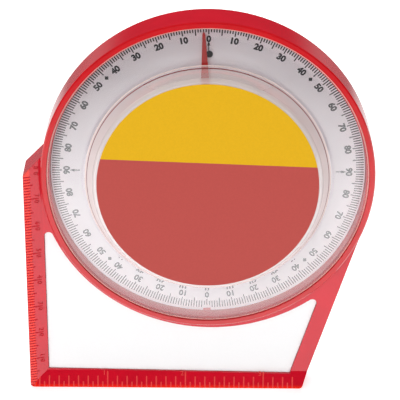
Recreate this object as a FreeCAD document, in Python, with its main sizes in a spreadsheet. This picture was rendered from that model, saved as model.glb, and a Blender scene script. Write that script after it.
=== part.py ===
import FreeCAD, Part
import math
import os
import Sketcher
from FreeCAD import Vector, Rotation

# A dial angle meter with a magnetic base. The red housing is a round cup for the
# dial, a ruled column on the left, a ruled bar along the bottom and a slanted strut
# on the right. A weighted pointer swings freely inside the cup behind a clear lens.
#
# Millimetres. The origin is the middle of the magnetic base face. X is to the right,
# Y to the back, Z up, and the dial faces -Y. Every piece is drawn in elevation: its
# own X is across, its own Y is up and its own Z comes forward from the front plane.

# Every size of the meter, in mm or degrees, that can be set by itself.
SIZES = [
    # housing outline, as seen from the front
    ("base_length", 88.6, "base face, left ruled edge to the corner under the strut"),
    ("body_depth", 11.8, "front plane to back face"),
    ("ring_radius", 51.9, "outside of the dial ring"),
    ("ring_across", 5.5, "left ruled edge to the ring"),
    ("ring_foot", 23.4, "base face to the foot of the ring"),
    ("column_rise", 0.7, "column's top corner, above the dial centre"),
    ("column_slope", 46.0, "angle of the column's slanted top to the level"),
    ("slope_reach", 12.0, "slanted top, carried on under the ring"),
    ("foot_round", 1.3, "rounding of the two bottom corners"),
    ("rim_chamfer", 0.4, "chamfer round the front of the ring"),
    # ruled faces and panel window
    ("deck_drop", 1.9, "step from the front plane down to the flat deck"),
    ("ruler_width", 5.6, "sloping ruled faces of column and bar"),
    ("window_left", 5.95, "left ruled edge to the panel window"),
    ("window_foot_left", 5.9, "base face to the window, left end"),
    ("window_foot_right", 4.7, "base face to the window, right end"),
    ("strut_width", 5.2, "strut, across its slant"),
    ("window_reach", 2.3, "window's upper arc, radius over the ring's"),
    ("window_arc_right", 1.2, "centre of the window's arc, right of the dial centre"),
    ("window_arc_up", 0.7, "centre of the window's arc, above the dial centre"),
    ("window_round", 1.4, "rounded upper corners of the window"),
    ("panel_recess", 0.5, "panel face below the deck"),
    ("panel_thickness", 1.2, "white panel"),
    ("panel_gap", 0.1, "clearance round the panel"),
    # dial cup and lens
    ("ring_lip", 1.8, "front of the ring, outside the lens"),
    ("lens_seat_depth", 2.2, "front plane to the lens ledge"),
    ("lens_gap", 0.1, "radial clearance of the lens in its recess"),
    ("lens_wall", 1.6, "thickness of the clear moulding"),
    ("flange_width", 11.5, "lens recess to the boss's front edge"),
    ("boss_draft", 0.5, "widening of the boss towards the flange"),
    ("boss_bevel", 0.3, "bevel of the boss's front edge"),
    ("boss_inner_drop", 0.7, "boss's inner corner, behind its front edge"),
    ("boss_front", 2.9, "front edge of the boss, ahead of the front plane"),
    ("boss_step", 2.7, "boss's front edge to the foot of the raised disc"),
    ("disc_foot_front", 3.9, "foot of the raised disc, ahead of the front plane"),
    ("disc_slope", 1.2, "foot of the raised disc to its face"),
    ("disc_front", 5.2, "face of the raised disc, ahead of the front plane"),
    ("label_margin", 0.5, "raised disc left bare round the label"),
    ("label_thickness", 0.2, "printed label"),
    ("lens_ledge", 0.9, "ledge that the lens rests on"),
    ("well_depth", 6.5, "front plane to the cup floor"),
    ("floor_thickness", 2.0, "cup floor"),
    ("dial_gap", 0.2, "clearance of the scale plate in the cup"),
    ("dial_thickness", 0.6, "scale plate"),
    ("dial_hole_radius", 4.5, "hole in the scale plate round the pivot seat"),
    ("key_width", 2.2, "key at the foot of the cup that locates the scale"),
    ("key_height", 0.9, "key, inward from the cup wall"),
    ("key_root", 0.3, "key, let into the cup wall"),
    ("key_gap", 0.1, "clearance of the notch round the key"),
    ("peg_across", 0.2, "black peg, right of the dial centre line"),
    ("peg_inset", 9.2, "black peg, in from the scale plate's edge"),
    ("peg_radius", 1.05, "head of the black peg"),
    ("peg_head", 0.4, "thickness of the peg's head"),
    ("peg_shank_radius", 0.6, "shank of the black peg"),
    ("peg_gap", 0.05, "radial clearance of the peg's shank"),
    ("peg_end_gap", 0.1, "gap behind the peg's shank"),
    # pivot
    ("seat_radius", 3.6, "raised pivot seat on the cup floor"),
    ("seat_height", 1.0, "pivot seat above the cup floor"),
    ("boss_back_radius", 4.2, "boss behind the cup floor that grips the axle"),
    ("axle_radius", 1.5, "steel pivot axle"),
    ("axle_press", 3.4, "axle held in the housing, behind the seat"),
    ("running_gap", 0.05, "radial clearance of the bush on the axle"),
    ("end_float", 0.1, "axial play at each end of the bush"),
    ("washer_radius", 3.2, "thrust washers"),
    ("washer_thickness", 0.4, "thrust washers"),
    ("bush_radius", 2.6, "brass bush, outside"),
    ("bush_length", 4.0, "brass bush"),
    ("clip_radius", 3.0, "push-on retaining clip"),
    ("clip_thickness", 0.5, "push-on retaining clip"),
    ("clip_teeth", 6, "teeth of the retaining clip"),
    ("clip_slit", 0.5, "slits between the clip's teeth"),
    ("clip_rim", 0.7, "unslit rim of the clip"),
    ("axle_tip", 0.6, "axle proud of the clip"),
    ("axle_bevel", 0.3, "bevel of the axle's tip"),
    # pointer
    ("pointer_rest", 1.85, "lean of the needle to the left when the weight hangs plumb"),
    ("pointer_lift", 1.1, "gap between scale plate and needle"),
    ("pointer_thickness", 0.8, "needle and hub plate"),
    ("needle_inset", 1.5, "needle's tip, in from the scale plate's edge"),
    ("needle_root_width", 5.8, "needle at the hub"),
    ("needle_tip_width", 0.9, "needle where its point starts"),
    ("needle_point", 1.0, "pointed end of the needle"),
    ("hub_radius", 6.0, "pointer hub"),
    ("hub_height", 3.0, "pointer hub, forward from the back of the needle"),
    ("tail_width", 9.0, "arm that carries the weight"),
    ("weight_inner", 9.0, "counterweight, inner radius"),
    ("weight_outer", 30.0, "counterweight, outer radius"),
    ("weight_angle", 100.0, "counterweight, angle it covers"),
    ("weight_thickness", 3.6, "counterweight"),
    ("rivet_radius", 1.0, "rivet shanks"),
    ("rivet_head_radius", 1.9, "rivet heads"),
    ("rivet_head", 0.4, "thickness of the rivet heads"),
    ("rivet_bevel", 0.3, "bevel of the rivet heads"),
    ("rivet_spacing", 8.0, "between the two rivets"),
    ("rivet_reach", 16.0, "dial centre to the upper rivet"),
    # back of the housing
    ("side_wall", 1.7, "wall round the rear cover"),
    ("cover_thickness", 2.0, "rear cover"),
    ("cover_gap", 0.1, "clearance round the rear cover"),
    ("cover_ledge", 2.2, "ledge that the rear cover rests on"),
    ("cavity_foot", 14.0, "base face to the lower end of the hollow"),
    ("screw_boss_radius", 3.0, "screw bosses in the hollow"),
    ("screw_radius", 1.0, "screw shanks"),
    ("screw_head_radius", 2.1, "countersunk screw heads"),
    ("screw_length", 4.5, "cover screws, with their heads"),
    ("screw_tip_length", 0.6, "tapered tips of the screws"),
    ("screw_tip_radius", 0.3, "blunt ends of the screws"),
    ("screw_spare", 0.2, "screw bores, past the screws' tips"),
    ("screw_gap", 0.05, "radial clearance of the screws"),
    ("slot_width", 0.7, "cross slots in the screw heads"),
    ("slot_depth", 0.6, "cross slots in the screw heads"),
    ("slot_length", 2.6, "cross slots in the screw heads"),
    ("foot_screw_inset", 7.2, "lower screws, in from each end of the base"),
    ("foot_screw_height", 9.6, "lower screws, above the base face"),
    ("ring_screw_inset", 7.9, "upper screws, in from the outside of the ring"),
    ("ring_screw_angle", 45.0, "upper screws, from the upright"),
    # magnetic base
    ("pole_gap_width", 4.0, "between the two steel pole strips"),
    ("pole_thickness", 1.4, "steel pole strips"),
    ("pole_height", 1.6, "steel pole strips"),
    ("pole_inset", 8.3, "steel pole strips, in from each end of the base"),
    ("pole_clearance", 0.05, "clearance of the pole strips in their slots"),
    ("magnet_length", 19.0, "ferrite magnets"),
    ("magnet_height", 2.2, "ferrite magnets"),
    ("magnet_inset", 1.5, "outer magnets, in from the ends of the pole strips"),
    ("magnet_gap", 0.1, "clearance of the magnets in their pockets"),
]

# Sizes that follow from those above.
DERIVED = [
    ("dial_across", "ring_across + ring_radius", "left ruled edge to the dial centre"),
    ("dial_height", "ring_foot + ring_radius", "base face to the dial centre"),
    ("column_height", "dial_height + column_rise", "base face to the column's top corner"),
    ("lens_seat_radius", "ring_radius - ring_lip", "recess that takes the lens"),
    ("boss_radius", "lens_seat_radius - flange_width", "lens boss at its front edge"),
    ("disc_foot_radius", "boss_radius - boss_step", "foot of the raised label disc"),
    ("disc_radius", "disc_foot_radius - disc_slope", "raised label disc"),
    ("label_radius", "disc_radius - label_margin", "printed label"),
    ("well_radius", "lens_seat_radius - lens_ledge", "cup wall round the scale"),
    ("dial_radius", "well_radius - dial_gap", "scale plate"),
    ("peg_up", "dial_radius - peg_inset", "black peg, above the dial centre"),
    ("needle_reach", "dial_radius - needle_inset", "dial centre to the needle's tip"),
    ("ring_screw_reach", "ring_radius - ring_screw_inset", "upper screws from the centre"),
    ("pole_length", "base_length - 2 * pole_inset", "steel pole strips"),
    ("magnet_spacing", "pole_length / 2 - magnet_inset - magnet_length / 2",
     "between magnet centres"),
]

MAGNETS = ["magnet_left", "magnet_middle", "magnet_right"]

document = FreeCAD.newDocument("angle_meter")
sheet = document.addObject("Spreadsheet::Sheet", "Dims")
formulas = [(alias, "=" + formula, note) for alias, formula, note in DERIVED]
for row, (alias, value, note) in enumerate(SIZES + formulas, start=1):
    sheet.set("A%d" % row, str(value))
    sheet.setAlias("A%d" % row, alias)
    sheet.set("B%d" % row, note)
document.recompute()


def size(expression):
    """The number that an expression of the sheet's sizes gives."""
    return float(sheet.evalExpression(named(expression)))


def named(expression):
    """The expression with each size's alias led by the sheet's name."""
    words = []
    word = ""
    for letter in expression + " ":
        if letter.isalnum() or letter == "_":
            word += letter
        else:
            words.append("Dims." + word if word in ALIASES else word)
            words.append(letter)
            word = ""
    return "".join(words).strip()


ALIASES = {alias for alias, value, note in SIZES + DERIVED}

# Places that several pieces share, as expressions of the sizes above.
DIAL_X = "(dial_across - base_length / 2)"
FLANGE_FRONT = "(lens_wall - lens_seat_depth)"
DIAL_FRONT = "(dial_thickness - well_depth)"
SEAT_FRONT = "(seat_height - well_depth)"
BUSH_BACK = "(seat_height - well_depth + washer_thickness + end_float)"
NEEDLE_BACK = "(dial_thickness - well_depth + pointer_lift)"
NEEDLE_FRONT = "(dial_thickness - well_depth + pointer_lift + pointer_thickness)"
CLIP_BACK = ("(seat_height - well_depth + 2 * washer_thickness"
             " + 2 * end_float + bush_length)")
PANEL_FRONT = "(0 - deck_drop - panel_recess)"
COVER_FRONT = "(cover_thickness - body_depth)"
MID_DEPTH = "(0 - body_depth / 2)"


def new_body(label, at_dial=False, turn=0.0):
    """A body drawn in elevation, at the base's middle or at the dial centre."""
    body = document.addObject("PartDesign::Body", label)
    body.Label = label
    upright = Rotation(Vector(1, 0, 0), 90)
    body.Placement = FreeCAD.Placement(Vector(), upright * Rotation(Vector(0, 0, 1), turn))
    body.setExpression(".Placement.Base.y", named("0 - body_depth / 2"))
    if at_dial:
        body.setExpression(".Placement.Base.x", named(DIAL_X))
        body.setExpression(".Placement.Base.z", named("dial_height"))
    return body


def plane_of(body, role):
    return [item for item in body.Origin.OriginFeatures if item.Role == role][0]


def new_sketch(body, name, height="0", role="XY_Plane"):
    """A sketch on one of the body's own planes, lifted by an expression."""
    sketch = body.newObject("Sketcher::SketchObject", name)
    sketch.AttachmentSupport = [(plane_of(body, role), "")]
    sketch.MapMode = "FlatFace"
    sketch.setExpression(".AttachmentOffset.Base.z", named(height))
    document.recompute()
    return sketch


def pin(sketch, element, point, x, y):
    """Hold a point of a sketch at the place that two expressions give."""
    for kind, axis, expression in (("DistanceX", -2, x), ("DistanceY", -1, y)):
        value = size(expression)
        if abs(value) < 1e-9:
            sketch.addConstraint(Sketcher.Constraint("PointOnObject", element, point, axis))
            continue
        index = sketch.addConstraint(
            Sketcher.Constraint(kind, -1, 1, element, point, value))
        sketch.setExpression("Constraints[%d]" % index, named(expression))


def add_circle(sketch, radius, x="0", y="0"):
    centre = Vector(size(x), size(y), 0)
    circle = sketch.addGeometry(Part.Circle(centre, Vector(0, 0, 1), size(radius)))
    pin(sketch, circle, 3, x, y)
    index = sketch.addConstraint(Sketcher.Constraint("Radius", circle, size(radius)))
    sketch.setExpression("Constraints[%d]" % index, named(radius))


def add_polygon(sketch, points):
    """A closed outline of straight edges whose corners are pairs of expressions."""
    corners = [Vector(size(x), size(y), 0) for x, y in points]
    count = len(corners)
    edges = [sketch.addGeometry(Part.LineSegment(corners[i], corners[(i + 1) % count]))
             for i in range(count)]
    for i in range(count):
        following = edges[(i + 1) % count]
        sketch.addConstraint(Sketcher.Constraint("Coincident", edges[i], 2, following, 1))
    for i, (x, y) in enumerate(points):
        pin(sketch, edges[i], 1, x, y)


def add_rectangle(sketch, left, right, bottom, top):
    add_polygon(sketch, [(left, bottom), (right, bottom), (right, top), (left, top)])


def extrude(body, kind, sketch, name, length):
    """A pad towards the front, or a pocket towards the back, of a given length."""
    feature = body.newObject("PartDesign::" + kind, name)
    feature.Profile = sketch
    feature.setExpression("Length", named(length))
    document.recompute()
    return feature


def pad(body, sketch, name, length):
    return extrude(body, "Pad", sketch, name, length)


def pocket(body, sketch, name, length):
    before = body.Shape.Volume
    feature = extrude(body, "Pocket", sketch, name, length)
    if body.Shape.Volume > before - 1e-6:
        raise RuntimeError(name + " removes nothing")
    return feature


def turned(body, name, points, kind="Revolution"):
    """A profile of (radius, height) corners turned about the body's own Z axis."""
    sketch = new_sketch(body, name + "_profile", role="XZ_Plane")
    add_polygon(sketch, points)
    feature = body.newObject("PartDesign::" + kind, name)
    feature.Profile = sketch
    feature.ReferenceAxis = (sketch, ["V_Axis"])
    feature.Angle = 360
    document.recompute()
    return feature


def turned_piece(label, points, turn=0.0):
    body = new_body(label, at_dial=True, turn=turn)
    turned(body, label + "_turned", points)
    return body


def strut_lean():
    """Angle of the strut's outer side from upright: it leaves the base's right end
    and touches the ring."""
    run = "(base_length - dial_across)"
    reach = "sqrt(" + run + " ^ 2 + dial_height ^ 2)"
    return ("(asin(ring_radius / " + reach + ") - atan(" + run + " / dial_height))"
            " / 1 deg")


LEAN = "(" + strut_lean() + ")"


def strut_point(inset, height):
    """A point of the strut's side, set in from it, at a height above the base."""
    x = ("base_length / 2 - (" + inset + ") / cos" + LEAN
         + " + (" + height + ") * tan" + LEAN)
    return x, height


def outline(inset, foot):
    """Corners of the housing's straight outline, set in all round, without the ring.

    The corners over the strut and over the column's slanted top lie inside the ring's
    circle, which is added to this outline as a disc of its own."""
    touch = "(ring_radius - (" + inset + "))"
    touch_point = (DIAL_X + " + " + touch + " * cos" + LEAN,
                   "dial_height - " + touch + " * sin" + LEAN)
    left = "(" + inset + ") - base_length / 2"
    shift = "(" + inset + ") * (1 - sin(column_slope)) / cos(column_slope)"
    top_corner = (left, "column_height - (" + inset + ") * cos(column_slope) + "
                  + shift + " * sin(column_slope)")
    inner_corner = (left + " + slope_reach * cos(column_slope)",
                    top_corner[1] + " + slope_reach * sin(column_slope)")
    return [(left, foot), strut_point(inset, foot), touch_point, (DIAL_X, "dial_height"),
            inner_corner, top_corner]


def window_outline(sketch, gap):
    """The panel window: column edge, bar edge, strut edge and an arc that leaves a ledge
    under the ring, wider to the right, with rounded upper corners. The gap draws it
    smaller all round."""
    left = "window_left + " + gap + " - base_length / 2"
    ring = "(ring_radius + window_reach + " + gap + ")"
    corner = "(window_round - " + gap + ")"
    arc_x = DIAL_X + " + window_arc_right"
    arc_y = "dial_height + window_arc_up"
    centre = Vector(size(arc_x), size(arc_y), 0)
    lean = math.radians(size(LEAN))
    ring_size = size(ring)
    corner_size = size(corner)

    # the upper left corner's centre is one rounding from the column and the ring
    left_x = size(left)
    rounding_x = left_x + corner_size
    drop = math.sqrt((ring_size + corner_size) ** 2 - (rounding_x - centre.x) ** 2)
    left_centre = Vector(rounding_x, centre.y - drop, 0)

    # the upper right corner's centre is one rounding from the strut and the ring
    inset = "strut_width + " + gap
    foot_x, foot_y = strut_point(inset, "window_foot_right + " + gap)
    foot = Vector(size(foot_x), size(foot_y), 0)
    along = Vector(math.sin(lean), math.cos(lean), 0)
    inward = Vector(-math.cos(lean), math.sin(lean), 0)
    start = foot + inward * corner_size
    to_centre = start - centre
    half = to_centre.dot(along)
    travel = -half - math.sqrt(half ** 2 - to_centre.dot(to_centre)
                               + (ring_size + corner_size) ** 2)
    right_centre = start + along * travel

    left_touch = left_centre + Vector(-corner_size, 0, 0)
    right_touch = right_centre - inward * corner_size
    left_ring = centre + (left_centre - centre).normalize() * ring_size
    right_ring = centre + (right_centre - centre).normalize() * ring_size
    left_foot = Vector(left_x, size("window_foot_left + " + gap), 0)
    up = Vector(0, 0, 1)

    def arc(middle, radius, first, last):
        begin = math.atan2(first.y - middle.y, first.x - middle.x)
        end = math.atan2(last.y - middle.y, last.x - middle.x)
        return Part.ArcOfCircle(Part.Circle(middle, up, radius), begin, end)

    column = sketch.addGeometry(Part.LineSegment(left_touch, left_foot))
    bar = sketch.addGeometry(Part.LineSegment(left_foot, foot))
    strut = sketch.addGeometry(Part.LineSegment(foot, right_touch))
    right_arc = sketch.addGeometry(arc(right_centre, corner_size, right_touch, right_ring))
    ring_arc = sketch.addGeometry(arc(centre, ring_size, left_ring, right_ring))
    left_arc = sketch.addGeometry(arc(left_centre, corner_size, left_ring, left_touch))

    def tie(kind, *places):
        sketch.addConstraint(Sketcher.Constraint(kind, *places))

    def bind(kind, expression, *places):
        index = sketch.addConstraint(Sketcher.Constraint(kind, *places, size(expression)))
        sketch.setExpression("Constraints[%d]" % index, named(expression))

    tie("Coincident", column, 2, bar, 1)
    tie("Coincident", bar, 2, strut, 1)
    tie("Tangent", strut, 2, right_arc, 1)
    tie("Tangent", right_arc, 2, ring_arc, 2)
    tie("Tangent", ring_arc, 1, left_arc, 1)
    tie("Tangent", left_arc, 2, column, 1)
    pin(sketch, bar, 1, left, "window_foot_left + " + gap)
    pin(sketch, bar, 2, foot_x, foot_y)
    pin(sketch, ring_arc, 3, arc_x, arc_y)
    tie("Vertical", column)
    bind("Radius", ring, ring_arc)
    bind("Radius", corner, right_arc)
    bind("Radius", corner, left_arc)
    slope = "(90 - " + LEAN + ") * 1 deg"
    index = sketch.addConstraint(Sketcher.Constraint("Angle", strut, math.pi / 2 - lean))
    sketch.setExpression("Constraints[%d]" % index, named(slope))


def screw_places():
    """Elevation places of the four cover screws, from the base's middle."""
    foot_left = ("foot_screw_inset - base_length / 2", "foot_screw_height")
    foot_right = ("base_length / 2 - foot_screw_inset + foot_screw_height * tan" + LEAN,
                  "foot_screw_height")
    across = "ring_screw_reach * sin(ring_screw_angle)"
    up = "dial_height + ring_screw_reach * cos(ring_screw_angle)"
    return [foot_left, foot_right, (DIAL_X + " - " + across, up),
            (DIAL_X + " + " + across, up)]


def magnet_places():
    return ["0 - magnet_spacing", "0", "magnet_spacing"]


def make_front_body():
    body = new_body("front_body")

    # flat-sided frame, then the ruled faces sunk towards the window
    slab = new_sketch(body, "frame_outline", "0 - body_depth")
    add_polygon(slab, outline("0", "0"))
    pad(body, slab, "frame", "body_depth")
    round_feet(body)
    sink_faces(body)
    # the window's cut starts at the front plane, because the ruled faces rise to it
    window = new_sketch(body, "window_cut_outline")
    window_outline(window, "0")
    pocket(body, window, "window", "deck_drop + panel_recess + panel_thickness")

    # ring with its chamfered rim
    turned_ring(body)
    seat = new_sketch(body, "lens_seat_outline", "0")
    add_circle(seat, "lens_seat_radius", DIAL_X, "dial_height")
    pocket(body, seat, "lens_seat", "lens_seat_depth")
    well = new_sketch(body, "well_outline", "0 - lens_seat_depth")
    add_circle(well, "well_radius", DIAL_X, "dial_height")
    pocket(body, well, "well", "well_depth - lens_seat_depth")
    key = new_sketch(body, "key_outline", "0 - well_depth")
    add_rectangle(key, DIAL_X + " - key_width / 2", DIAL_X + " + key_width / 2",
                  "dial_height - well_radius - key_root",
                  "dial_height - well_radius + key_height")
    pad(body, key, "scale_key", "dial_thickness")
    pivot = new_sketch(body, "pivot_seat_outline", "0 - well_depth")
    add_circle(pivot, "seat_radius", DIAL_X, "dial_height")
    pad(body, pivot, "pivot_seat", "seat_height")

    hollow_back(body)
    bore_front_body(body)
    cut_base(body)
    return body


def round_feet(body):
    """Round the two upright edges at the ends of the base face."""
    edges = []
    for number, edge in enumerate(body.Shape.Edges, start=1):
        middle = body.Placement.inverse().multVec(edge.CenterOfMass)
        upright = edge.BoundBox.YLength > size("body_depth") - 0.01
        if upright and abs(middle.y) < 0.01:
            edges.append("Edge%d" % number)
    base = body.Tip
    fillet = body.newObject("PartDesign::Fillet", "foot_rounding")
    fillet.Base = (base, edges)
    fillet.setExpression("Radius", named("foot_round"))
    document.recompute()


def sink_faces(body):
    """Slope the column's and the bar's faces down to the deck, like a picture frame
    whose outer edges stand forward. The cut is a wedge whose Y runs forward."""
    far = "dial_across + 2 * ring_radius"
    top = "dial_height + 2 * ring_radius"
    cut = body.newObject("PartDesign::SubtractiveWedge", "sunken_faces")
    cut.Placement = FreeCAD.Placement(Vector(), Rotation(Vector(1, 0, 0), 90))
    cut.setExpression(".Placement.Base.z", named("0 - deck_drop"))
    for side, expression in (
            ("Ymin", "0"), ("Ymax", "deck_drop"), ("Xmax", far), ("X2max", far),
            ("Zmin", "0 - (" + top + ")"), ("Z2min", "0 - (" + top + ")"),
            ("Xmin", "ruler_width - base_length / 2"), ("Zmax", "0 - ruler_width"),
            ("X2min", "0 - base_length / 2"), ("Z2max", "0")):
        setattr(cut, side, size(expression))
        cut.setExpression(side, named(expression))
    document.recompute()


def turned_ring(body):
    """The ring's disc, to be bored for the dial, with a chamfer round its front."""
    disc = new_sketch(body, "ring_outline", "0 - body_depth")
    add_circle(disc, "ring_radius", DIAL_X, "dial_height")
    pad(body, disc, "ring", "body_depth")
    rim = []
    for number, edge in enumerate(body.Shape.Edges, start=1):
        box = edge.BoundBox
        at_front = box.YMax < size("0 - body_depth / 2") + 0.01
        if at_front and box.ZLength > size("ring_radius"):
            rim.append("Edge%d" % number)
    base = body.Tip
    chamfer = body.newObject("PartDesign::Chamfer", "rim_chamfer")
    chamfer.Base = (base, rim)
    chamfer.setExpression("Size", named("rim_chamfer"))
    document.recompute()


def hollow_back(body):
    """Recess for the rear cover and the hollow in front of it."""
    back = "0 - body_depth"
    for name, inset, foot, floor in (
            ("cover_recess", "side_wall", "side_wall", "cover_thickness"),
            ("hollow", "side_wall + cover_ledge", "cavity_foot",
             "body_depth - well_depth - floor_thickness")):
        straight = new_sketch(body, name + "_straight_outline", back)
        add_polygon(straight, outline(inset, foot))
        round_part = new_sketch(body, name + "_round_outline", back)
        add_circle(round_part, "ring_radius - (" + inset + ")", DIAL_X, "dial_height")
        for shape, sketch in (("straight", straight), ("round", round_part)):
            cut = extrude(body, "Pocket", sketch, name + "_" + shape, floor)
            cut.Reversed = True
            document.recompute()
    bosses = new_sketch(body, "rear_boss_outline", "0 - well_depth - floor_thickness")
    add_circle(bosses, "boss_back_radius", DIAL_X, "dial_height")
    for x, y in screw_places()[2:]:
        add_circle(bosses, "screw_boss_radius", x, y)
    post = pad(body, bosses, "rear_bosses",
               "body_depth - cover_thickness - well_depth - floor_thickness")
    post.Reversed = True
    document.recompute()


def bore_front_body(body):
    """Holes for the axle, the black peg and the cover screws."""
    bore = new_sketch(body, "axle_bore_outline", SEAT_FRONT)
    add_circle(bore, "axle_radius", DIAL_X, "dial_height")
    pocket(body, bore, "axle_bore", "axle_press")
    peg = new_sketch(body, "peg_bore_outline", "0 - well_depth")
    add_circle(peg, "peg_shank_radius + peg_gap", DIAL_X + " + peg_across",
               "dial_height + peg_up")
    pocket(body, peg, "peg_bore", "floor_thickness / 2")
    screws = new_sketch(body, "screw_bores_outline", "cover_thickness - body_depth")
    for x, y in screw_places():
        add_circle(screws, "screw_radius + screw_gap", x, y)
    cut = extrude(body, "Pocket", screws, "screw_bores",
                  "screw_length - cover_thickness + screw_spare")
    cut.Reversed = True
    document.recompute()


def cut_base(body):
    """Slots for the pole strips, open below, and magnet pockets, open behind."""
    slots = new_sketch(body, "pole_slots_outline", "0", role="XZ_Plane")
    half = "(pole_length / 2 + pole_clearance)"
    for side in (-1, 1):
        near = MID_DEPTH + " + %d * (pole_gap_width / 2 - pole_clearance)" % side
        away = near + " + %d * (pole_thickness + 2 * pole_clearance)" % side
        low, high = (away, near) if side < 0 else (near, away)
        add_rectangle(slots, "0 - " + half, half, low, high)
    pocket(body, slots, "pole_slots", "pole_height")
    pockets = new_sketch(body, "magnet_pockets_outline", "cover_thickness - body_depth")
    for place in magnet_places():
        add_rectangle(pockets, place + " - magnet_length / 2 - magnet_gap",
                      place + " + magnet_length / 2 + magnet_gap",
                      "pole_height", "pole_height + magnet_height + magnet_gap")
    cut = extrude(body, "Pocket", pockets, "magnet_pockets",
                  "body_depth / 2 - cover_thickness + pole_gap_width / 2 + pole_thickness")
    cut.Reversed = True
    document.recompute()


def make_rear_cover():
    body = new_body("rear_cover")
    inset = "side_wall + cover_gap"
    straight = new_sketch(body, "cover_straight_outline", "0 - body_depth")
    add_polygon(straight, outline(inset, inset))
    pad(body, straight, "cover_straight", "cover_thickness")
    round_part = new_sketch(body, "cover_round_outline", "0 - body_depth")
    add_circle(round_part, "ring_radius - (" + inset + ")", DIAL_X, "dial_height")
    pad(body, round_part, "cover_round", "cover_thickness")
    holes = new_sketch(body, "cover_holes_outline", COVER_FRONT)
    for x, y in screw_places():
        add_circle(holes, "screw_radius + screw_gap", x, y)
    pocket(body, holes, "cover_holes", "cover_thickness")
    document.recompute()
    for number, (x, y) in enumerate(screw_places(), start=1):
        sink = body.newObject("PartDesign::SubtractiveCone", "countersink_%d" % number)
        sink.setExpression("Radius1", named("screw_head_radius + screw_gap"))
        sink.setExpression("Radius2", named("screw_radius + screw_gap"))
        sink.setExpression("Height", named("screw_head_radius - screw_radius"))
        sink.setExpression(".Placement.Base.x", named(x))
        sink.setExpression(".Placement.Base.y", named(y))
        sink.setExpression(".Placement.Base.z", named("0 - body_depth"))
        document.recompute()
    return body


def make_cover_screws():
    """Four countersunk screws, turned from one profile and given cross slots."""
    profile = [("0", "0"), ("screw_head_radius", "0"),
               ("screw_radius", "screw_head_radius - screw_radius"),
               ("screw_radius", "screw_length - screw_tip_length"),
               ("screw_tip_radius", "screw_length"), ("0", "screw_length")]
    shapes = []
    for x, y in screw_places():
        corners = [Vector(size(r), 0, size(z)) for r, z in profile]
        face = Part.Face(Part.makePolygon(corners + corners[:1]))
        screw = face.revolve(Vector(), Vector(0, 0, 1), 360)
        for turn in (0, 90):
            slot = Part.makeBox(size("slot_length"), size("slot_width"), size("slot_depth"),
                                Vector(size("0 - slot_length / 2"),
                                       size("0 - slot_width / 2"), 0))
            slot.rotate(Vector(), Vector(0, 0, 1), turn)
            screw = screw.cut(slot)
        screw.translate(Vector(size(x), size(y), size("0 - body_depth")))
        shapes.append(screw)
    group = document.addObject("Part::Feature", "cover_screws")
    group.Label = "cover_screws"
    group.Shape = Part.makeCompound(shapes)
    group.Placement = FreeCAD.Placement(Vector(0, size("0 - body_depth / 2"), 0),
                                        Rotation(Vector(1, 0, 0), 90))
    return group


def make_panel():
    body = new_body("white_panel")
    sketch = new_sketch(body, "panel_outline", PANEL_FRONT + " - panel_thickness")
    window_outline(sketch, "panel_gap")
    pad(body, sketch, "panel", "panel_thickness")
    return body


def make_dial():
    body = new_body("scale_dial", at_dial=True)
    plate = new_sketch(body, "dial_outline", "0 - well_depth")
    add_circle(plate, "dial_radius")
    add_circle(plate, "dial_hole_radius")
    pad(body, plate, "dial_plate", "dial_thickness")
    notch = new_sketch(body, "dial_cuts_outline", DIAL_FRONT)
    width = "(key_width / 2 + key_gap)"
    add_rectangle(notch, "0 - " + width, width, "0 - well_radius",
                  "key_height + key_gap - well_radius")
    add_circle(notch, "peg_shank_radius + peg_gap", "peg_across", "peg_up")
    pocket(body, notch, "dial_cuts", "dial_thickness")
    return body


def make_peg():
    body = new_body("dial_peg", at_dial=True)
    head = new_sketch(body, "peg_head_outline", DIAL_FRONT)
    add_circle(head, "peg_radius", "peg_across", "peg_up")
    pad(body, head, "peg_head", "peg_head")
    shank = new_sketch(body, "peg_shank_outline", DIAL_FRONT)
    add_circle(shank, "peg_shank_radius", "peg_across", "peg_up")
    stem = pad(body, shank, "peg_shank", "dial_thickness + floor_thickness / 2 - peg_end_gap")
    stem.Reversed = True
    document.recompute()
    return body


def make_lens():
    """Clear moulding like a shallow hat: flange, boss and raised label disc, of one
    wall thickness."""
    back = FLANGE_FRONT + " - lens_wall"
    foot = "boss_radius + boss_draft"
    return turned_piece("lens", [
        ("0", "disc_front"), ("disc_radius", "disc_front"),
        ("disc_foot_radius", "disc_foot_front"),
        ("boss_radius - boss_bevel", "boss_front + boss_bevel"),
        ("boss_radius", "boss_front"), (foot, FLANGE_FRONT),
        ("lens_seat_radius - lens_gap", FLANGE_FRONT),
        ("lens_seat_radius - lens_gap", back),
        (foot + " - lens_wall", back),
        ("boss_radius - lens_wall", "boss_front - boss_inner_drop"),
        ("disc_foot_radius - lens_wall", "disc_front - lens_wall"),
        ("0", "disc_front - lens_wall")])


def make_label():
    return turned_piece("label_disc", [
        ("0", "disc_front"), ("label_radius", "disc_front"),
        ("label_radius", "disc_front + label_thickness"),
        ("0", "disc_front + label_thickness")])


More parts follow.
